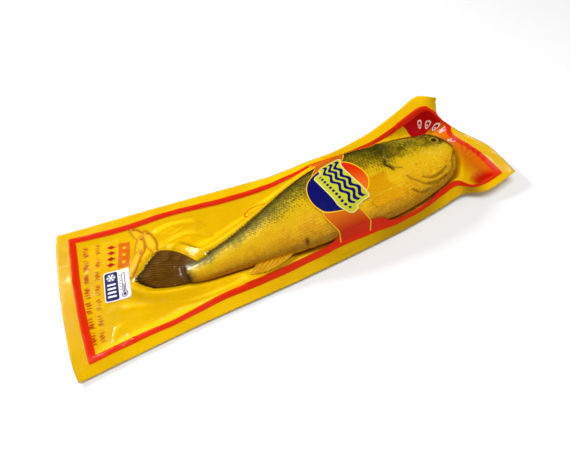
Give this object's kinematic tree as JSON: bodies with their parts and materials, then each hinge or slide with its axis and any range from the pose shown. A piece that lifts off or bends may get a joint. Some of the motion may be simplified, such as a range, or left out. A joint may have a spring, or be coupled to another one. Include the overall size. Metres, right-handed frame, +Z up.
{
  "type": "vacuum-packed croaker",
  "caption": "Whole croaker sealed on its side in a long flat vacuum pouch with a clear printed front film, a yellow back film and a small storage sticker.",
  "frame": {"origin": "centre of the pack's footprint, on the surface that it lies on", "axes": "+X along the pouch from its tail end to its head end, +Y from the belly side to the back side of the fish, +Z up from the yellow back film to the clear front film"},
  "size_m": [0.4317, 0.1524, 0.0463],
  "materials": {
    "fish_skin": "wet scaly skin, olive on the back and golden yellow on the flank and belly",
    "yellow_film": "glossy opaque yellow laminate",
    "clear_film": "glossy clear laminate with red, orange and navy print",
    "sticker_paper": "coated label paper, half white and half navy"
  },
  "bodies": {
    "root": {"croaker": "fish_skin", "back_film": "yellow_film", "front_film": "clear_film", "storage_sticker": "sticker_paper"}
  },
  "joints": []
}
